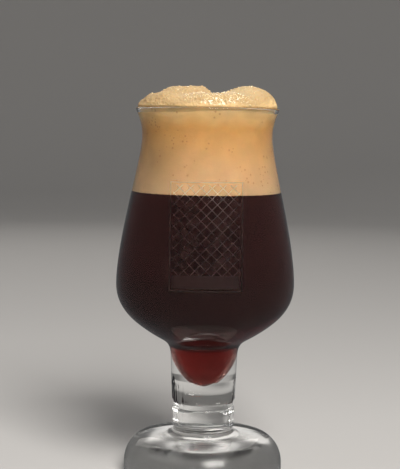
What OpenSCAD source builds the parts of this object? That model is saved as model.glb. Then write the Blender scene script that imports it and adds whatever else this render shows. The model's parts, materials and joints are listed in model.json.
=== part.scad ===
// A stemmed tulip glass of stout.
// The glass is one piece: a thin bowl, a solid stem with a ring groove, and a thick foot.
// The stout fills the bowl and the small well that dips into the stem.
// The head of foam fills the mouth of the bowl and rises over the rim in two mounds.
// Z is up, the glass stands on z = 0, and its axis is the Z axis.

/* [Glass heights] */
// Thickness of the foot at its middle
foot_h = 21; // [16:0.5:28]
// Height of the solid stem, from the top of the foot to the bottom of the bowl
stem_h = 41; // [30:0.5:56]
// Height of the bowl, from the top of the stem to the rim
bowl_h = 132; // [108:1:165]
// Height of the widest part of the bowl above the stem
belly_up = 39.5; // [30:0.5:50]
// Height above the stem at which the bowl's bottom turns down into the stem
hip_up = 13.2; // [10:0.1:17]
// Depth of the neck below the rim
neck_down = 15.2; // [11:0.1:20]

/* [Glass widths] */
// Outer diameter at the rim
rim_d = 75; // [66:0.5:90]
// Outer diameter at the neck, the narrowest part of the bowl
neck_d = 68.4; // [58:0.2:84]
// Outer diameter at the belly, the widest part of the bowl
belly_d = 94.2; // [82:0.2:114]
// Outer diameter where the bowl's bottom turns down into the stem
hip_d = 56.4; // [48:0.2:68]
// Diameter at the top of the stem
stem_top_d = 35.4; // [31:0.2:42]
// Diameter at the bottom of the stem
stem_low_d = 31.8; // [27:0.2:38]
// Diameter of the foot
foot_d = 84.2; // [72:0.2:102]

/* [Glass walls] */
// Thickness of the bowl's wall from the neck to the belly
wall = 1.9; // [1.5:0.1:2.6]
// Thickness of the rim, which is rounded by the flame
lip = 1.8; // [1.4:0.1:2.2]
// Thickness of the glass at the bottom of the bowl, where it turns into the stem
hip_wall = 3.2; // [2.6:0.1:4]
// Angle of the bowl's bottom at that turn, from the horizontal
hip_slope = 33; // [26:1:40]
// Diameter of the well that dips into the stem, at its mouth
well_d = 23.4; // [19:0.2:26]
// Height of the well's mouth above the top of the stem
well_up = 4; // [2:0.5:6]
// Depth of the well below the top of the stem
well_down = 15; // [11:0.5:19]

/* [Stem groove] */
// Height of the groove's middle above the foot
groove_up = 16.6; // [12:0.2:22]
// Width of the groove, measured up the stem
groove_w = 4.8; // [3.4:0.2:6.4]
// Depth of the groove
groove_deep = 0.8; // [0.4:0.1:1.4]

/* [Foot] */
// Height of the round fillet between the stem and the foot
flare_h = 3.5; // [2.5:0.1:5]
// Reach of that fillet out from the stem
flare_r = 4.1; // [3:0.1:6]
// Drop of the foot's top from the fillet to its shoulder
slope_drop = 1.9; // [1:0.1:3]
// Width of the round shoulder at the foot's edge
shoulder_w = 6.9; // [5:0.1:9]
// Height of the foot's upright side, up to where the shoulder starts
side_h = 5.8; // [4:0.1:8]
// Radius of the foot's lower edge
edge_r = 2; // [1:0.1:3]
// Width of the flat ring that the glass stands on
ring_w = 3.6; // [2:0.1:6]
// Rise of the hollow under the foot
hollow_h = 1.8; // [0.8:0.1:3]

/* [Stout and head] */
// Depth of the stout's surface below the rim
fill_down = 44; // [30:1:60]
// Clearance between the glass and what fills it
fill_gap = 0.15; // [0.1:0.01:0.25]
// Radius of the foam's round shoulder above the rim
foam_round = 7.4; // [6:0.2:10]
// How far past the middle of the lip the foam's side stands
foam_over = 0.1; // [0:0.1:0.6]
// Height that the left mound adds to the foam
left_rise = 4.1; // [2:0.1:6]
// Height that the right mound adds to the foam
right_rise = 3.8; // [2:0.1:6]
// How much higher than its middle the foam stands at its right edge, and lower at its left one
foam_lean = 0.5; // [0:0.1:1]
// Depth of the crease between the mounds
crease_deep = 1.8; // [0:0.2:2.4]
// Height of the small lumps on the foam
lump_h = 0.45; // [0:0.05:0.8]

/* [Hidden] */
$fn = 96;

// Heights of the stations along the glass
stem_z = foot_h;
bowl_z = foot_h + stem_h;
rim_z = bowl_z + bowl_h;
hip_z = bowl_z + hip_up;
belly_z = bowl_z + belly_up;
neck_z = rim_z - neck_down;
fill_z = rim_z - fill_down;
groove_z = stem_z + groove_up;
well_z = bowl_z - well_down;

// Shares of each curve's span that its handles take
lip_lean = [0.58, 0.31];
neck_rise = 0.41;
neck_fall = 0.145;
belly_rise = 0.295;
belly_fall = 0.5;
hip_fall = 0.62;
stem_rise = 0.68;

// Points of a cubic curve from a to d with handles b and c, without its last point
function curve(a, b, c, d, steps) = [
    for (i = [0 : steps - 1])
        let (t = i / steps, s = 1 - t)
            s * s * s * a + 3 * s * s * t * b + 3 * s * t * t * c + t * t * t * d
];

// Points of an arc about a centre, from one angle to another, without its last point
function arc(centre, radius, from, to, steps) = [
    for (i = [0 : steps - 1])
        let (turn = from + (to - from) * i / steps)
            centre + radius * [cos(turn), sin(turn)]
];

function reversed(points) = [for (i = [len(points) - 1 : -1 : 0]) points[i]];

// Stretches of the bowl's side. The outer face and the inner one both use them, and the inner
// one's radii are less by the wall.
function rim_to_neck(rim_r, neck_r, top) = curve(
    [rim_r, top],
    [rim_r - lip_lean[0] * (rim_r - neck_r), top - lip_lean[1] * neck_down],
    [neck_r, neck_z + neck_rise * neck_down],
    [neck_r, neck_z],
    10);

function neck_to_belly(neck_r, belly_r) = curve(
    [neck_r, neck_z],
    [neck_r, neck_z - neck_fall * (neck_z - belly_z)],
    [belly_r, belly_z + belly_rise * (neck_z - belly_z)],
    [belly_r, belly_z],
    26);

function belly_to_hip(belly_r, hip) = curve(
    [belly_r, belly_z],
    [belly_r, belly_z - belly_fall * (belly_z - hip[1])],
    hip + belly_fall * (belly_r - hip[0]) * [1, tan(hip_slope)],
    hip,
    20);

// The hip on the outer face, and on the inner face square across the wall from it
hip_out = [hip_d / 2, hip_z];
hip_in = hip_out + hip_wall * [-sin(hip_slope), cos(hip_slope)];

// Middle of the rounded lip
lip_z = rim_z - lip / 2;
lip_mid = rim_d / 2 - lip / 2;

// The stem narrows evenly from the bowl to the foot
function stem_r(z) = (stem_low_d + (stem_top_d - stem_low_d) * (z - stem_z) / stem_h) / 2;

// Edges of the stem's groove. A curve bows by three quarters of what its handles stand off.
groove_top = [stem_r(groove_z + groove_w / 2), groove_z + groove_w / 2];
groove_low = [stem_r(groove_z - groove_w / 2), groove_z - groove_w / 2];
groove_pull = 4 / 3 * groove_deep;

// The outer face from the rim down to the lower edge of the groove
function outer_face() = concat(
    rim_to_neck(rim_d / 2, neck_d / 2, lip_z),
    neck_to_belly(neck_d / 2, belly_d / 2),
    belly_to_hip(belly_d / 2, hip_out),
    curve(
        hip_out,
        hip_out - hip_fall * (hip_out[0] - stem_top_d / 2) * [1, tan(hip_slope)],
        [stem_top_d / 2, bowl_z + stem_rise * hip_up],
        [stem_top_d / 2, bowl_z],
        18),
    curve(
        groove_top,
        [groove_top[0] - groove_pull, groove_z + groove_w / 4],
        [groove_low[0] - groove_pull, groove_z - groove_w / 4],
        groove_low,
        10),
    [groove_low]);

// The foot, from the flare under the stem to the ring that it stands on and the hollow inside it
flare_top = [stem_r(stem_z + flare_h), stem_z + flare_h];
flare_end = [flare_top[0] + flare_r, stem_z];
shoulder = [foot_d / 2 - shoulder_w, stem_z - slope_drop];
side_top = [foot_d / 2, side_h];
ring_in = foot_d / 2 - edge_r - ring_w;

function foot_face() = concat(
    curve(flare_top, flare_top - [0, 0.6 * flare_h], flare_end - [0.6 * flare_r, 0], flare_end, 10),
    curve(
        flare_end,
        flare_end + [0.4 * (shoulder[0] - flare_end[0]), 0],
        shoulder + [-0.3 * (shoulder[0] - flare_end[0]), 0.8 * slope_drop],
        shoulder,
        10),
    curve(
        shoulder,
        shoulder + [0.6 * shoulder_w, -0.36 * shoulder_w],
        side_top + [0, 0.45 * (shoulder[1] - side_h)],
        side_top,
        16),
    [side_top],
    arc([foot_d / 2 - edge_r, edge_r], edge_r, 0, -90, 8),
    [[foot_d / 2 - edge_r, 0]],
    curve(
        [ring_in, 0],
        [0.9 * ring_in, hollow_h],
        [0.5 * ring_in, hollow_h],
        [0, hollow_h],
        14),
    [[0, hollow_h]]);

// The well, from its bottom on the axis up to the bowl's hip
well_top = [well_d / 2, bowl_z + well_up];

function well_face() = concat(
    curve(
        [0, well_z],
        [0.19 * well_d, well_z],
        [0.94 * well_top[0], (well_z + well_top[1]) / 2],
        well_top,
        16),
    curve(
        well_top,
        well_top + 0.45 * (hip_in[1] - well_top[1]) * [0.11, 1],
        hip_in - 0.4 * (hip_in[0] - well_top[0]) * [1, tan(hip_slope)],
        hip_in,
        14));

// The inner face from the well's bottom up to the lip
function inner_face() = concat(
    well_face(),
    [hip_in],
    reversed(belly_to_hip(belly_d / 2 - wall, hip_in)),
    reversed(neck_to_belly(neck_d / 2 - wall, belly_d / 2 - wall)),
    reversed(rim_to_neck(rim_d / 2 - lip, neck_d / 2 - wall, lip_z)));

// The round over the lip, from the point after the inner face's last to the outer face's first
function lip_round() = arc([lip_mid, lip_z], lip / 2, 165, 0, 11);

inside = inner_face();
inside_radii = [for (p = inside) [p[1], p[0]]];

// Radius of the inside at a height
function inside_r(z) = lookup(z, inside_radii);

module glass() {
    color([0.82, 0.86, 0.86, 0.35])
        rotate_extrude()
            polygon(concat(outer_face(), foot_face(), inside, lip_round()));
}

// The stout stands in from the inner face by the clearance and ends level under the foam
module stout() {
    side = [
        for (p = inside)
            if (p[1] < fill_z - 2 * fill_gap)
                [max(0, p[0] - fill_gap), p[1] + fill_gap]
    ];
    color([0.12, 0.045, 0.04])
        rotate_extrude()
            polygon(concat(side, [[inside_r(fill_z) - fill_gap, fill_z], [0, fill_z]]));
}

// The foam stands in the bowl from the stout up, laps over the lip, and ends in a dome.
// Its mesh is made of rings, each [radius, height, angle above the horizontal at which it swells].
foam_sides = 72;
foam_step = 360 / foam_sides;
neck_steps = 14;
dome_steps = 11;
lap_r = lip / 2 + fill_gap;
lap_end = acos(foam_over / lap_r);
side_r = lip_mid + foam_over;
side_z = lip_z + lap_r * sin(lap_end);
dome_r = side_r - foam_round;

neck_rings = [
    for (i = [0 : neck_steps - 1])
        let (z = fill_z + (lip_z - fill_z) * i / neck_steps)
            [inside_r(z) - fill_gap, z, 0]
];
lap_rings = [for (p = arc([lip_mid, lip_z], lap_r, 180, lap_end, 4)) [p[0], p[1], 0]];
round_rings = [
    for (turn = [0 : 15 : 75])
        [dome_r + foam_round * cos(turn), side_z + foam_round * sin(turn), turn]
];
dome_rings = [
    for (i = [0 : dome_steps - 1])
        [dome_r * (1 - i / dome_steps), side_z + foam_round, 90]
];
foam_rings = concat(neck_rings, lap_rings, round_rings, dome_rings);
last_ring = len(foam_rings) - 1;

// Middles of the two mounds, how far each reaches out from there, and the crease between them
left_top = side_r * [-0.3, -0.08];
left_reach = side_r * [0.39, 0.57];
right_top = side_r * [0.555, -0.055];
right_reach = side_r * [0.34, 0.51];
crease_x = 0.087 * side_r;
crease_slant = 0.12;
crease_w = 2.1;

// A mound's share of its height at a place: one at its middle, nothing at its edge
function mound(x, y, middle, reach, flatness) =
    let (out = norm([(x - middle[0]) / reach[0], (y - middle[1]) / reach[1]]))
        out < 1 ? (1 + cos(180 * pow(out, flatness))) / 2 : 0;

function crease(x, y) = -crease_deep * exp(-pow((x - crease_x - crease_slant * y) / crease_w, 2));

// Lumps are slow waves at odd angles to each other, so that none repeats. Each wave has its share
// of the lumps' height, its length, its heading and the point in its swing at the axis.
waves = [[0.5, 15.1, 22, 50], [0.45, 10.7, 117, 200], [0.25, 6.9, 51, 20], [0.2, 8.3, -31, 90]];

function lumps(x, y) = lump_h * sum_of([
    for (w = waves)
        w[0] * sin(360 * (x * cos(w[2]) + y * sin(w[2])) / w[1] + w[3])
]);

function sum_of(values) = values * [for (v = values) 1];

// How far the foam swells out of its plain shape at a place on the dome
function swell(x, y) =
    left_rise * mound(x, y, left_top, left_reach, 3)
    + right_rise * mound(x, y, right_top, right_reach, 2)
    + foam_lean * x / side_r + crease(x, y) + lumps(x, y);

// The dome's rings close in on the left mound's top, so that they cross the crease squarely
function foam_point(ring, azimuth) =
    let (ray = [cos(azimuth), sin(azimuth)])
    let (place = ring[0] * ray + max(0, 1 - ring[0] / dome_r) * left_top)
    let (grow = swell(place[0], place[1]) * pow(sin(ring[2]), 2))
    let (out = place + 0.4 * grow * cos(ring[2]) * ray)
        [out[0], out[1], ring[1] + grow * sin(ring[2])];

foam_points = concat(
    [[0, 0, fill_z]],
    [for (ring = foam_rings, k = [0 : foam_sides - 1]) foam_point(ring, k * foam_step)],
    [foam_point([0, side_z + foam_round, 90], 0)]);

// Number of a point on the foam: ring by ring, each counted round the axis
function at(ring, side) = 1 + ring * foam_sides + side % foam_sides;

foam_faces = concat(
    [for (k = [0 : foam_sides - 1]) [0, at(0, k), at(0, k + 1)]],
    [for (i = [0 : last_ring - 1], k = [0 : foam_sides - 1])
        [at(i, k), at(i + 1, k), at(i + 1, k + 1)]],
    [for (i = [0 : last_ring - 1], k = [0 : foam_sides - 1])
        [at(i, k), at(i + 1, k + 1), at(i, k + 1)]],
    [for (k = [0 : foam_sides - 1]) [at(last_ring, k), len(foam_points) - 1, at(last_ring, k + 1)]]);

module head() {
    color([0.87, 0.72, 0.5])
        polyhedron(points = foam_points, faces = foam_faces);
}

glass();
stout();
head();
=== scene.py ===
"""A stemmed tulip glass of stout with a deep tan head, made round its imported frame."""
import json
import math

import bmesh
import bpy
from mathutils import Matrix, Vector

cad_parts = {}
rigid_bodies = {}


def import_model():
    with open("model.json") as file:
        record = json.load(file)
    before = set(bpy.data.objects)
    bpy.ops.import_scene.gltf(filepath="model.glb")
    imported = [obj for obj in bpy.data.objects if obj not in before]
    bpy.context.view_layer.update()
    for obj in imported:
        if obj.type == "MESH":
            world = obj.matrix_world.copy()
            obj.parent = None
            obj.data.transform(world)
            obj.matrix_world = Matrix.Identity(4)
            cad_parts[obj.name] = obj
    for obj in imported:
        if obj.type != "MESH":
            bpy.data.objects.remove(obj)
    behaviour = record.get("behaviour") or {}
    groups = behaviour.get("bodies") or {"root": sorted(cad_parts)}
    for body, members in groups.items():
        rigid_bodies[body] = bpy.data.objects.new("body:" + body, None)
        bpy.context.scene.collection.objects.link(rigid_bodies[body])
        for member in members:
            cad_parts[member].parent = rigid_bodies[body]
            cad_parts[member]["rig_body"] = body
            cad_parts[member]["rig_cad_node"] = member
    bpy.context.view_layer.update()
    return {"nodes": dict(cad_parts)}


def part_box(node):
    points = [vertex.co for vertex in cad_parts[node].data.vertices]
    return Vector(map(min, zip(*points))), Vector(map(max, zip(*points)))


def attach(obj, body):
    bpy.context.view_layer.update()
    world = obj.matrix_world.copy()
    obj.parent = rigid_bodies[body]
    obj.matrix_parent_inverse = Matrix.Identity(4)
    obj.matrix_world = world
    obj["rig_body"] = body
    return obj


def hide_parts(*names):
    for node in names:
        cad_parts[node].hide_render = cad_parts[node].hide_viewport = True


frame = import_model()

# ---------------------------------------------------------------------------------------------
# The studio: a pale floor that curves up into a wall all round, a large soft light high in
# front and a little to the right, a weak one on the left and one behind. The camera stands just
# below the rim with a long lens, and tilts down a little.
# ---------------------------------------------------------------------------------------------
RIM_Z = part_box("glass")[1].z
CAMERA_DISTANCE = 0.658
CAMERA_BELOW_RIM = 0.0074
CAMERA_ASIDE = -0.00305
CAMERA_PITCH = math.radians(5.14)
CAMERA_ROLL = math.radians(0.85)
CAMERA_LENS = 95.95
CAMERA_SENSOR = 36
FLOOR_R = 1.7
FLOOR_SIDES = 96
FLOOR_COLOUR = (0.52, 0.51, 0.5, 1)
FLOOR_DULL, FLOOR_GLINT = 0.8, 0.1
SWEEP_R = 1.1
SWEEP_RIBS = 12
WALL_H = 1.6
ROOM_COLOUR = (0.95, 0.97, 1, 1)
ROOM_STRENGTH = 0.13
AIM_Z = 0.14


def deselect_all():
    bpy.ops.object.select_all(action="DESELECT")


def new_material(name):
    """A material, and its Principled shader."""
    paint = bpy.data.materials.new(name)
    paint.use_nodes = True
    return paint, paint.node_tree.nodes["Principled BSDF"]


deselect_all()
bpy.ops.object.camera_add(location=(CAMERA_ASIDE, -CAMERA_DISTANCE, RIM_Z - CAMERA_BELOW_RIM))
camera = bpy.context.active_object
camera.rotation_euler = (
    Matrix.Rotation(math.radians(90) - CAMERA_PITCH, 3, "X") @ Matrix.Rotation(CAMERA_ROLL, 3, "Z")
).to_euler()
camera.data.lens = CAMERA_LENS
camera.data.sensor_width = CAMERA_SENSOR
bpy.context.scene.camera = camera
bpy.context.scene.view_settings.view_transform = "Standard"

bpy.ops.mesh.primitive_circle_add(vertices=FLOOR_SIDES, radius=FLOOR_R, fill_type="NGON")
floor = bpy.context.active_object
floor.name = "floor"
bpy.ops.object.mode_set(mode="EDIT")
bpy.ops.mesh.select_all(action="SELECT")
bpy.ops.mesh.region_to_loop()
reach, height = FLOOR_R, 0
for rib in range(1, SWEEP_RIBS + 2):
    turn = math.radians(90) * min(rib, SWEEP_RIBS) / SWEEP_RIBS
    next_reach = FLOOR_R + SWEEP_R * math.sin(turn)
    next_height = SWEEP_R * (1 - math.cos(turn)) + (WALL_H if rib > SWEEP_RIBS else 0)
    bpy.ops.mesh.extrude_edges_move(TRANSFORM_OT_translate={"value": (0, 0, next_height - height)})
    share = next_reach / reach
    bpy.ops.transform.resize(value=(share, share, 1), center_override=(0, 0, 0))
    reach, height = next_reach, next_height
bpy.ops.object.mode_set(mode="OBJECT")
bpy.ops.object.shade_smooth_by_angle(angle=math.radians(30))

paint, shader = new_material("pale_floor")
shader.inputs["Base Color"].default_value = FLOOR_COLOUR
shader.inputs["Roughness"].default_value = FLOOR_DULL
shader.inputs["Specular IOR Level"].default_value = FLOOR_GLINT
floor.data.materials.append(paint)
floor.visible_glossy = False

world = bpy.data.worlds.new("soft_room")
bpy.context.scene.world = world
world.use_nodes = True
world.node_tree.nodes["Background"].inputs["Color"].default_value = ROOM_COLOUR
world.node_tree.nodes["Background"].inputs["Strength"].default_value = ROOM_STRENGTH


def soft_light(name, power, size, azimuth, elevation, distance, colour):
    """A square soft light that faces the bowl. Azimuth 0 is in front, and 90 on the right."""
    turn, rise = math.radians(azimuth), math.radians(elevation)
    ray = Vector((math.sin(turn) * math.cos(rise), -math.cos(turn) * math.cos(rise), math.sin(rise)))
    bpy.ops.object.light_add(type="AREA", location=Vector((0, 0, AIM_Z)) + distance * ray)
    light = bpy.context.active_object
    light.name = name
    light.data.energy = power
    light.data.size = size
    light.data.color = colour
    light.rotation_euler = (-ray).to_track_quat("-Z", "Y").to_euler()
    light.visible_camera = False


soft_light("key", power=26, size=0.6, azimuth=20, elevation=42, distance=1.3, colour=(1, 0.97, 0.93))
soft_light("fill", power=1.6, size=0.9, azimuth=-80, elevation=45, distance=1.4, colour=(0.95, 0.97, 1))
soft_light("back", power=5, size=1.4, azimuth=195, elevation=42, distance=1.4, colour=(1, 0.96, 0.91))

# ---------------------------------------------------------------------------------------------
# The glass: bowl, stem and foot in one piece of clear soda-lime glass, pressed and then
# fire-polished. It is a turned shape, so its outline is cut from the frame and spun again with
# finer steps.
# ---------------------------------------------------------------------------------------------
GLASS_STEPS = 128
SAME_POINT = 1e-6
STEM_LOW = 0.021
STEM_FADE = 0.004
WELL_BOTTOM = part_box("stout")[0].z
WETTED_FROM = WELL_BOTTOM - 0.001
FACES_UP = 0.9
GLASS_COLOUR = (0.99, 1, 0.995, 1)
GLASS_IOR = 1.5
OUTER_GLINT = (0.5, 0.5, 0.5, 1)
WETTED_GLINT = (0.04, 0.018, 0.018, 1)
DRAWN_GRAIN, DRAWN_STRETCH = 150, (1, 1, 0.08)
WAVES_GRAIN, WAVES_SHARE = 55, 0.15
UNEVEN_DEPTH = 0.0012
SMUDGE_GRAIN, SMUDGE_MOST = 60, 0.05
FOOT_DULL = 0.14


def alone(piece):
    """Selects one piece and makes it the active one."""
    deselect_all()
    piece.select_set(True)
    bpy.context.view_layer.objects.active = piece


def copy_of_node(node, name):
    """A piece with a node's shape, its loose triangles merged."""
    alone(frame["nodes"][node])
    bpy.ops.object.duplicate()
    piece = bpy.context.active_object
    piece.name = piece.data.name = name
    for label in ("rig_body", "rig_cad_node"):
        del piece[label]
    piece.parent = None
    piece.data.materials.clear()
    bpy.ops.object.mode_set(mode="EDIT")
    bpy.ops.mesh.select_all(action="SELECT")
    bpy.ops.mesh.remove_doubles(threshold=SAME_POINT)
    bpy.ops.object.mode_set(mode="OBJECT")
    return piece


def select_points(piece, test):
    """In edit mode, selects the points whose place passes the test, and nothing else."""
    bpy.ops.mesh.select_mode(type="VERT")
    bpy.ops.mesh.select_all(action="DESELECT")
    mesh = bmesh.from_edit_mesh(piece.data)
    for point in mesh.verts:
        point.select = test(point.co)
    mesh.select_flush(True)
    bmesh.update_edit_mesh(piece.data)


def spun_again(piece, steps):
    """Turns a round piece into its outline on one side of the axis, and spins that smoothly."""
    alone(piece)
    bpy.ops.object.mode_set(mode="EDIT")
    bpy.ops.mesh.select_all(action="SELECT")
    bpy.ops.mesh.bisect(plane_co=(0, 0, 0), plane_no=(0, 1, 0), clear_inner=True, clear_outer=True)
    select_points(piece, lambda co: co.x < -SAME_POINT)
    bpy.ops.mesh.delete(type="VERT")
    bpy.ops.mesh.select_all(action="SELECT")
    bpy.ops.mesh.remove_doubles(threshold=SAME_POINT)
    bpy.ops.mesh.spin(steps=steps, angle=2 * math.pi, center=(0, 0, 0), axis=(0, 0, 1))
    bpy.ops.mesh.select_all(action="SELECT")
    bpy.ops.mesh.remove_doubles(threshold=SAME_POINT)
    bpy.ops.mesh.normals_make_consistent(inside=False)
    bpy.ops.object.mode_set(mode="OBJECT")
    bpy.ops.object.shade_smooth()


glass = copy_of_node("glass", "tulip_glass")
spun_again(glass, GLASS_STEPS)

# A faint panel is etched on the front of the bowl: a lattice above a plain band, in a thin frame
ETCHED_W, ETCHED_TOP, ETCHED_LOW = 0.0365, 0.1570, 0.1030
ETCHED_LINE, ETCHED_HALF_PITCH, ETCHED_EDGE = 0.0006, 0.0027, 0.0015
ETCHED_BAND_TOP = 0.1110
ETCHED_DULL, ETCHED_CLEAR = 0.28, 0.997


def join(tree, value, socket):
    """Sets a socket, or joins it to another node's output."""
    if isinstance(value, bpy.types.NodeSocket):
        tree.links.new(value, socket)
    else:
        socket.default_value = value


def add_node(tree, kind, inputs, **settings):
    """Adds a node with its settings and inputs."""
    made = tree.nodes.new(kind)
    for key, value in settings.items():
        setattr(made, key, value)
    for place, value in inputs.items():
        join(tree, value, made.inputs[place])
    return made


def add(paint, kind, inputs, **settings):
    """Adds a shader node to a material."""
    return add_node(paint.node_tree, "ShaderNode" + kind, inputs, **settings)


def sum_of(paint, operation, first, second=0.0):
    """One sum on two values, or on one."""
    return add(paint, "Math", {0: first, 1: second}, operation=operation).outputs["Value"]


def moved_to(paint, value, low, high, to_low, to_high, **settings):
    """A value between two limits, moved in step to between two others."""
    return add(paint, "MapRange", {
        "Value": value, "From Min": low, "From Max": high, "To Min": to_low, "To Max": to_high,
    }, **settings).outputs["Result"]


def in_panel(paint, across, height, inset):
    """One inside the etched panel's edge, less an inset, and nothing outside it."""
    middle = (ETCHED_TOP + ETCHED_LOW) / 2
    rise = sum_of(paint, "ABSOLUTE", sum_of(paint, "SUBTRACT", height, middle))
    narrow = sum_of(paint, "LESS_THAN", sum_of(paint, "ABSOLUTE", across), ETCHED_W / 2 - inset)
    short = sum_of(paint, "LESS_THAN", rise, (ETCHED_TOP - ETCHED_LOW) / 2 - inset)
    return sum_of(paint, "MULTIPLY", narrow, short)


def etched_lines(paint, place):
    """The panel's frame, the band, and two sets of slanting lines above it."""
    parts = add(paint, "SeparateXYZ", {"Vector": place}).outputs
    across, depth, height = parts["X"], parts["Y"], parts["Z"]
    frame_in = in_panel(paint, across, height, ETCHED_LINE)
    border = sum_of(paint, "SUBTRACT", in_panel(paint, across, height, 0), frame_in)
    marks = sum_of(paint, "LESS_THAN", height, ETCHED_BAND_TOP)
    for operation in ("ADD", "SUBTRACT"):
        slant = sum_of(paint, operation, across, height)
        to_line = sum_of(paint, "PINGPONG", slant, ETCHED_HALF_PITCH)
        line = sum_of(paint, "LESS_THAN", to_line, ETCHED_LINE / 2)
        marks = sum_of(paint, "MAXIMUM", marks, line)
    marks = sum_of(paint, "MULTIPLY", marks, in_panel(paint, across, height, ETCHED_EDGE))
    marks = sum_of(paint, "MAXIMUM", marks, border)
    return sum_of(paint, "MULTIPLY", marks, sum_of(paint, "LESS_THAN", depth, 0.0))


def glass_finish(name, glint, etched):
    """Clear glass with faint smudges, a stem drawn a little unevenly and a softly dulled foot."""
    paint, shader = new_material(name)
    place = add(paint, "TexCoord", {}).outputs["Object"]
    height = add(paint, "SeparateXYZ", {"Vector": place}).outputs["Z"]
    along = add(paint, "Mapping", {"Vector": place, "Scale": DRAWN_STRETCH}).outputs["Vector"]
    drawn = add(paint, "TexNoise", {"Vector": along, "Scale": DRAWN_GRAIN, "Detail": 2}).outputs["Fac"]
    below = moved_to(paint, height, WELL_BOTTOM + STEM_FADE, WELL_BOTTOM, 0.0, 1.0)
    above = moved_to(paint, height, STEM_LOW, STEM_LOW + STEM_FADE, 0.0, 1.0)
    drawn = sum_of(paint, "MULTIPLY", drawn, sum_of(paint, "MULTIPLY", below, above))
    waves = add(paint, "TexNoise", {"Vector": place, "Scale": WAVES_GRAIN, "Detail": 1}).outputs["Fac"]
    uneven = sum_of(paint, "ADD", drawn, sum_of(paint, "MULTIPLY", waves, WAVES_SHARE))
    bump = add(paint, "Bump", {"Height": uneven, "Strength": 1, "Distance": UNEVEN_DEPTH})
    join(paint.node_tree, bump.outputs["Normal"], shader.inputs["Normal"])
    smudge = add(paint, "TexNoise", {"Vector": place, "Scale": SMUDGE_GRAIN, "Detail": 3}).outputs["Fac"]
    smudge = moved_to(paint, smudge, 0.5, 0.8, 0.0, SMUDGE_MOST)
    in_foot = moved_to(paint, height, STEM_LOW - STEM_FADE, STEM_LOW + 0.001, FOOT_DULL, 0.0)
    dull = sum_of(paint, "MAXIMUM", smudge, in_foot)
    if etched:
        lines = etched_lines(paint, place)
        dull = sum_of(paint, "MAXIMUM", dull, sum_of(paint, "MULTIPLY", lines, ETCHED_DULL))
        clear = moved_to(paint, lines, 0.0, 1.0, 1.0, ETCHED_CLEAR)
        join(paint.node_tree, clear, shader.inputs["Transmission Weight"])
    else:
        shader.inputs["Transmission Weight"].default_value = 1
    join(paint.node_tree, dull, shader.inputs["Roughness"])
    shader.inputs["Base Color"].default_value = GLASS_COLOUR
    shader.inputs["IOR"].default_value = GLASS_IOR
    shader.inputs["Specular Tint"].default_value = glint
    return paint


# Where the drink wets the inside, the glass hardly glints
glass.data.materials.append(glass_finish("clear_glass", OUTER_GLINT, True))
glass.data.materials.append(glass_finish("wetted_glass", WETTED_GLINT, False))
for face in glass.data.polygons:
    outward = face.center.x * face.normal.x + face.center.y * face.normal.y
    faces_in = outward < 0 or face.normal.z > FACES_UP
    face.material_index = int(face.center.z > WETTED_FROM and faces_in)

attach(glass, "root")
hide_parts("glass")

# ---------------------------------------------------------------------------------------------
# The stout: a near-black ruby brown liquid that wets the glass all round, so it reaches a hair
# into the wall. Only the thin stretches, such as the well in the stem, let light through.
# ---------------------------------------------------------------------------------------------
STOUT_STEPS = 96
STOUT_WETS = 0.00025
WELL_SWELLS_BELOW = (0.068, 0.067, 0.066, 0.065)
WELL_SWELL = 0.0001
STOUT_COLOUR = (0.42, 0.2, 0.18, 1)
STOUT_GLINT = (0.1, 0.1, 0.1, 1)
STOUT_IOR = 1.34
STOUT_CLEAR = 0.93
STOUT_STAIN = (0.87, 0.45, 0.4, 1)
STOUT_DEPTH = 330

stout = copy_of_node("stout", "stout_fill")
spun_again(stout, STOUT_STEPS)
bpy.ops.object.mode_set(mode="EDIT")
bpy.ops.mesh.select_all(action="SELECT")
bpy.ops.transform.shrink_fatten(value=STOUT_WETS)
# In the well it reaches a little further into the glass, by steps so that no ledge shows
for below in WELL_SWELLS_BELOW:
    select_points(stout, lambda co: co.z < below)
    bpy.ops.transform.shrink_fatten(value=WELL_SWELL)
bpy.ops.object.mode_set(mode="OBJECT")

paint, shader = new_material("stout")
shader.inputs["Base Color"].default_value = STOUT_COLOUR
shader.inputs["Roughness"].default_value = 0.0
shader.inputs["IOR"].default_value = STOUT_IOR
shader.inputs["Specular Tint"].default_value = STOUT_GLINT
shader.inputs["Transmission Weight"].default_value = STOUT_CLEAR
absorb = add(paint, "VolumeAbsorption", {"Color": STOUT_STAIN, "Density": STOUT_DEPTH})
join(paint.node_tree, absorb.outputs["Volume"], paint.node_tree.nodes["Material Output"].inputs["Volume"])
stout.data.materials.append(paint)

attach(stout, "root")
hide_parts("stout")

# ---------------------------------------------------------------------------------------------
# The head: stiff tan foam of fine bubbles. It clings to the glass, laps over the lip and stands
# above it in two moist mounds, with larger bubbles and small pits where it has begun to dry.
# ---------------------------------------------------------------------------------------------
HEAD_WETS = 0.0004
HEAD_CLEAR_OF_RIM = 0.002
FOAM_GRID = 0.00055
EDGE_FROM, EDGE_NEAR = 0.02, 0.0002
HEAD_LOW, HEAD_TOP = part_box("head")[0].z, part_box("head")[1].z

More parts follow.
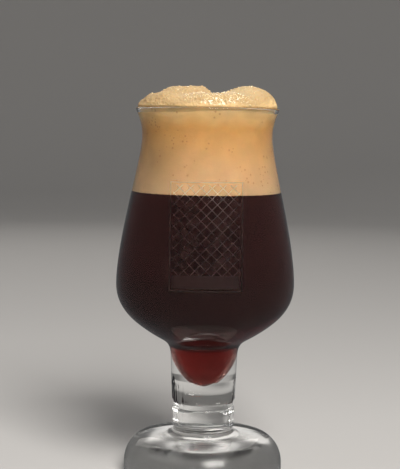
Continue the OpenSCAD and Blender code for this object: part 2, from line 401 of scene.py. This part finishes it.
head = copy_of_node("head", "foam_head")
alone(head)
bpy.ops.object.mode_set(mode="EDIT")
bpy.ops.mesh.select_all(action="SELECT")
bpy.ops.mesh.tris_convert_to_quads(face_threshold=math.radians(60), shape_threshold=math.radians(60))
select_points(head, lambda co: co.z < RIM_Z - HEAD_CLEAR_OF_RIM)
bpy.ops.transform.shrink_fatten(value=HEAD_WETS)
edge_z = HEAD_LOW - HEAD_WETS
select_points(head, lambda co: abs(co.z - edge_z) < EDGE_NEAR and co.xy.length > EDGE_FROM)
bpy.ops.transform.edge_crease(value=1)
bpy.ops.object.mode_set(mode="OBJECT")
smooth = head.modifiers.new("smooth", "SUBSURF")
smooth.levels = smooth.render_levels = 1
bpy.ops.object.modifier_apply(modifier="smooth")
head.data.remesh_voxel_size = FOAM_GRID
bpy.ops.object.voxel_remesh()
relax = head.modifiers.new("relax", "SMOOTH")
relax.factor = 0.5
relax.iterations = 2
bpy.ops.object.modifier_apply(modifier="relax")

# Between the mounds the foam has sunk into a crease, steep on its left side and shallow on its
# right. A wander is a width, a length and a start. The top has also slumped a little here and
# risen there: a swell is a place across, a width and a rise.
CREASE_X, CREASE_SLANT = 0.0042, 0.12
CREASE_BEND = 6
CREASE_DEEP = 0.0023
CREASE_LEFT, CREASE_RIGHT = 0.0014, 0.0024
CREASE_LONG = 0.022
CREASE_ROUND = 1.3
CREASE_WANDERS = ((0.0008, 0.0051, 0), (0.0004, 0.0019, 1))
RISE_FROM, RISE_OVER = 0.0006, 0.0024
SUNK = 0.0004
SWELLS = (
    (-0.0335, 0.0020, -0.0010),
    (-0.0230, 0.0030, 0.0007),
    (-0.0125, 0.0045, -0.0005),
    (-0.0010, 0.0030, 0.0005),
    (0.0100, 0.0040, 0.0004),
    (0.0310, 0.0030, 0.0009),
)


def rise_share(height):
    """From nothing at the lip to one a little above it."""
    return min(1, max(0, (height - RIM_Z - RISE_FROM) / RISE_OVER))


def crease_middle(along):
    """Where the crease runs, from front to back: a slant, a slow bend and a small wander."""
    wander = sum(wide * math.sin(along / long + start) for wide, long, start in CREASE_WANDERS)
    return CREASE_X + CREASE_SLANT * along + CREASE_BEND * along ** 2 + wander


for point in head.data.vertices:
    off = point.co.x - crease_middle(point.co.y)
    width = CREASE_LEFT if off < 0 else CREASE_RIGHT
    fade = math.exp(-((point.co.y / CREASE_LONG) ** 4))
    rise = -SUNK - CREASE_DEEP * fade * math.exp(-((abs(off) / width) ** CREASE_ROUND))
    rise += sum(high * math.exp(-(((point.co.x - at) / wide) ** 2)) for at, wide, high in SWELLS)
    point.co.z += rise * rise_share(point.co.z)

WET_PLACE = Vector((0.004, -0.031, RIM_Z + 0.003))
WET_REACH = Vector((0.019, 0.011, 0.006))
WET_MIDDLE, WET_FALL = 1.6, 1.2


def wetness_at(place):
    """How moist the foam is, from nothing to one on the slope in front of the crease."""
    out = place - WET_PLACE
    spread = math.sqrt(sum((out[i] / WET_REACH[i]) ** 2 for i in range(3)))
    return rise_share(place.z) * min(1, max(0, WET_MIDDLE - WET_FALL * spread))


for name, share_at in (("top", lambda place: rise_share(place.z)), ("wet", wetness_at)):
    group = head.vertex_groups.new(name=name)
    for point in head.data.vertices:
        group.add([point.index], share_at(point.co), "REPLACE")


def mark(piece, name, share_at):
    """Writes a value for each point into a named attribute."""
    layer = piece.data.attributes.new(name, "FLOAT", "POINT")
    layer.data.foreach_set("value", [share_at(point.co) for point in piece.data.vertices])


mark(head, "wetness", wetness_at)


def dimple(piece, name, kind, size, depth, group="top", **settings):
    """Pushes the surface in and out by a texture, in one group of points."""
    texture = bpy.data.textures.new(name, kind)
    texture.noise_scale = size
    for key, value in settings.items():
        setattr(texture, key, value)
    push = piece.modifiers.new(name, "DISPLACE")
    push.texture = texture
    push.texture_coords = "OBJECT"
    push.vertex_group = group
    push.strength = depth
    push.mid_level = 0.5
    bpy.ops.object.modifier_apply(modifier=name)


alone(head)
dimple(head, "swells", "CLOUDS", size=0.007, depth=0.0009, noise_depth=1)
dimple(head, "froth", "VORONOI", size=0.0023, depth=-0.0004)
dimple(head, "suds", "VORONOI", size=0.0016, depth=-0.0008, group="wet")
bpy.ops.object.shade_smooth()


def srgb(red, green, blue):
    """A colour as it looks, from 0 to 255, as the linear colour that a shader takes."""
    parts = [value / 255 for value in (red, green, blue)]
    return tuple(p / 12.92 if p < 0.04 else ((p + 0.055) / 1.055) ** 2.4 for p in parts) + (1,)


# The foam's tones go up from the stout to the tops of the mounds, with painted light and shade in
# them: lighter low down, where the wall faces up to the light, a painted shade at the neck under the
# lip, and a painted lighter band just below the rim, where light comes through from the top. A
# painted shade darkens one place behind the glass on the left, and a painted sheen makes the right mound
# paler.
FOAM_TONES_AND_PAINTED_LIGHT = (
    (0.0, srgb(230, 194, 150)),
    (0.2, srgb(230, 190, 140)),
    (0.42, srgb(228, 182, 122)),
    (0.58, srgb(230, 178, 108)),
    (0.68, srgb(244, 204, 140)),
    (0.77, srgb(232, 196, 140)),
    (0.84, srgb(188, 157, 112)),
    (1.0, srgb(187, 158, 116)),
)
TONES_GRAIN, TONES_WANDER = 45, 0.003
# Painted shade: the foam is darkened round one place on the left, behind the glass
PAINTED_SHADE_PLACE, PAINTED_SHADE_REACH, PAINTED_SHADE_LEVEL = (-0.025, -0.024, 0.167), 0.021, 0.72
# Painted sheen: the top of the right mound is painted paler
PAINTED_SHEEN_PLACE, PAINTED_SHEEN_REACH, PAINTED_SHEEN_SHARE = (0.014, -0.012, 0.206), 0.022, 0.7
PAINTED_SHEEN_COLOUR = srgb(194, 172, 132)
PATCH_GRAIN, PATCH_DARK, PATCH_LIGHT = 120, 0.94, 1.05
PIT_GRAIN, PITTED_GRAIN, PIT_SIZE = 420, 90, 0.24
PIT_COLOUR, PIT_SHARE = srgb(176, 100, 56), 0.4
FINE_GRAIN, CELL_GRAIN, GRAIN_DEPTH = 1100, 800, 0.0004
GRAIN_BEHIND_GLASS = 0.08
FOAM_DULL, WET_FOAM_DULL = 0.75, 0.2

paint, shader = new_material("foam")
place = add(paint, "TexCoord", {}).outputs["Object"]
height = add(paint, "SeparateXYZ", {"Vector": place}).outputs["Z"]
wander = add(paint, "TexNoise", {"Vector": place, "Scale": TONES_GRAIN, "Detail": 2}).outputs["Fac"]
wander = moved_to(paint, wander, 0.3, 0.7, -TONES_WANDER, TONES_WANDER)
level = moved_to(paint, sum_of(paint, "ADD", height, wander), HEAD_LOW, HEAD_TOP, 0.0, 1.0)
# The ramp carries the foam's own tan with painted light and shade in it
tones = add(paint, "ValToRGB", {"Fac": level})
ramp = tones.color_ramp
while len(ramp.elements) < len(FOAM_TONES_AND_PAINTED_LIGHT):
    ramp.elements.new(0.5)
for element, (at, colour) in zip(ramp.elements, FOAM_TONES_AND_PAINTED_LIGHT):
    element.position = at
    element.color = colour
# Painted sheen, paler towards the top of the right mound
to_painted_sheen = add(paint, "VectorMath", {0: place, 1: PAINTED_SHEEN_PLACE}, operation="DISTANCE").outputs["Value"]
painted_sheen = moved_to(paint, to_painted_sheen, 0.0, PAINTED_SHEEN_REACH, PAINTED_SHEEN_SHARE, 0.0, interpolation_type="SMOOTHSTEP")
pale = add(paint, "Mix", {
    "Factor": painted_sheen, 6: tones.outputs["Color"], 7: PAINTED_SHEEN_COLOUR}, data_type="RGBA").outputs[2]
dots = add(paint, "TexVoronoi", {"Vector": place, "Scale": PIT_GRAIN}).outputs["Distance"]
sparse = add(paint, "TexNoise", {"Vector": place, "Scale": PITTED_GRAIN, "Detail": 1}).outputs["Fac"]
sparse = moved_to(paint, sparse, 0.5, 0.62, 0.0, PIT_SIZE)
pits = sum_of(paint, "LESS_THAN", dots, sparse)
in_pit = sum_of(paint, "MULTIPLY", pits, PIT_SHARE)
pitted = add(paint, "Mix", {"Factor": in_pit, 6: pale, 7: PIT_COLOUR}, data_type="RGBA").outputs[2]
patches_and_shade = add(paint, "TexNoise", {"Vector": place, "Scale": PATCH_GRAIN, "Detail": 4}).outputs["Fac"]
patches_and_shade = moved_to(paint, patches_and_shade, 0.35, 0.65, PATCH_DARK, PATCH_LIGHT)
# Painted shade, darker round one place on the left behind the glass
to_painted_shade = add(paint, "VectorMath", {0: place, 1: PAINTED_SHADE_PLACE}, operation="DISTANCE").outputs["Value"]
painted_shade = moved_to(
    paint, to_painted_shade, 0.0, PAINTED_SHADE_REACH, PAINTED_SHADE_LEVEL, 1.0, interpolation_type="SMOOTHSTEP")
patches_and_shade = sum_of(paint, "MULTIPLY", patches_and_shade, painted_shade)
# The foam's colour, with its painted light, shade and sheen
mottled_with_painted_light = add(paint, "VectorMath", {0: pitted, "Scale": patches_and_shade}, operation="SCALE").outputs["Vector"]
join(paint.node_tree, mottled_with_painted_light, shader.inputs["Base Color"])
grain = add(paint, "TexNoise", {"Vector": place, "Scale": FINE_GRAIN, "Detail": 3}).outputs["Fac"]
cells = add(paint, "TexVoronoi", {"Vector": place, "Scale": CELL_GRAIN}).outputs["Distance"]
rough = sum_of(paint, "SUBTRACT", sum_of(paint, "ADD", grain, cells), pits)
in_air = moved_to(paint, height, RIM_Z - 0.001, RIM_Z + 0.001, GRAIN_BEHIND_GLASS, 1.0)
rough = sum_of(paint, "MULTIPLY", rough, in_air)
bump = add(paint, "Bump", {"Height": rough, "Strength": 0.8, "Distance": GRAIN_DEPTH})
join(paint.node_tree, bump.outputs["Normal"], shader.inputs["Normal"])
wetness = add(paint, "Attribute", {}, attribute_name="wetness").outputs["Fac"]
dull = moved_to(paint, wetness, 0.0, 1.0, FOAM_DULL, WET_FOAM_DULL)
join(paint.node_tree, dull, shader.inputs["Roughness"])
join(paint.node_tree, wetness, shader.inputs["Coat Weight"])
shader.inputs["Specular IOR Level"].default_value = 0.25
shader.inputs["Coat Roughness"].default_value = 0.08
shader.inputs["Subsurface Weight"].default_value = 0.25
shader.inputs["Subsurface Radius"].default_value = (1, 0.55, 0.25)
shader.inputs["Subsurface Scale"].default_value = 0.003
head.data.materials.append(paint)

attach(head, "root")
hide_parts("head")

# ---------------------------------------------------------------------------------------------
# Bubbles: thin clear skins of the drink, caught on top of the foam. They stand thick on the moist
# slope in front of the crease, and a few lie all over the two mounds.
# ---------------------------------------------------------------------------------------------
BUBBLE_LEAST, BUBBLE_MOST = 0.00016, 0.00062
BUBBLE_APART = 0.0005
BUBBLES_PER_AREA = 2.6e6
BUBBLES_MOSTLY_SMALL = 3.0
BUBBLE_SEED = 4
STRAY_SHARE = 0.06
STRAYS_END, STRAYS_FADE = 0.033, 0.004
SKIN_GRAIN = 900
SKIN_DARK, SKIN_LIGHT = srgb(204, 172, 120), srgb(240, 220, 176)

deselect_all()
bpy.ops.mesh.primitive_uv_sphere_add(segments=8, ring_count=5, radius=1)
bubble = bpy.context.active_object

alone(head)
bpy.ops.object.duplicate()
bubbles = bpy.context.active_object
bubbles.name = bubbles.data.name = "foam_bubbles"
bubbles.vertex_groups.clear()
bubbles.data.materials.clear()


def crowd_at(place):
    """How thick the bubbles stand: dense where it is moist, sparse on top, none at the edge."""
    inside = min(1, max(0, (STRAYS_END - place.xy.length) / STRAYS_FADE))
    return max(wetness_at(place), STRAY_SHARE * rise_share(place.z) * inside)


mark(bubbles, "crowd", crowd_at)

tree = bpy.data.node_groups.new("bubble_scatter", "GeometryNodeTree")
for way in ("INPUT", "OUTPUT"):
    tree.interface.new_socket(name="Geometry", in_out=way, socket_type="NodeSocketGeometry")


def link(kind, inputs, **settings):
    """Adds a node to the scatter."""
    return add_node(tree, kind, inputs, **settings)


surface = link("NodeGroupInput", {}).outputs["Geometry"]
crowd = link("GeometryNodeInputNamedAttribute", {"Name": "crowd"}, data_type="FLOAT").outputs["Attribute"]
spots = link("GeometryNodeDistributePointsOnFaces", {
    "Mesh": surface, "Distance Min": BUBBLE_APART, "Density Max": BUBBLES_PER_AREA,
    "Density Factor": crowd, "Seed": BUBBLE_SEED}, distribute_method="POISSON").outputs["Points"]
chance = link("FunctionNodeRandomValue", {2: 0.0, 3: 1.0, "Seed": BUBBLE_SEED}, data_type="FLOAT").outputs[1]
chance = link("ShaderNodeMath", {0: chance, 1: BUBBLES_MOSTLY_SMALL}, operation="POWER").outputs[0]
radius = link("ShaderNodeMapRange", {
    "Value": chance, "To Min": BUBBLE_LEAST, "To Max": BUBBLE_MOST}).outputs["Result"]
ball = link("GeometryNodeObjectInfo", {"Object": bubble}).outputs["Geometry"]
placed = link("GeometryNodeInstanceOnPoints", {"Points": spots, "Instance": ball, "Scale": radius})
real = link("GeometryNodeRealizeInstances", {"Geometry": placed.outputs["Instances"]})
link("NodeGroupOutput", {"Geometry": real.outputs["Geometry"]})

scatter = bubbles.modifiers.new("scatter", "NODES")
scatter.node_group = tree
alone(bubbles)
bpy.ops.object.modifier_apply(modifier="scatter")
bpy.ops.object.shade_smooth()
bpy.data.objects.remove(bubble)

paint, shader = new_material("bubble_skin")
place = add(paint, "TexCoord", {}).outputs["Object"]
tint = add(paint, "TexNoise", {"Vector": place, "Scale": SKIN_GRAIN}).outputs["Fac"]
tones = add(paint, "ValToRGB", {"Fac": tint})
tones.color_ramp.elements[0].color = SKIN_DARK
tones.color_ramp.elements[1].color = SKIN_LIGHT
join(paint.node_tree, tones.outputs["Color"], shader.inputs["Base Color"])
shader.inputs["Roughness"].default_value = 0.06
shader.inputs["Coat Weight"].default_value = 1
bubbles.data.materials.clear()
bubbles.data.materials.append(paint)

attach(bubbles, "root")
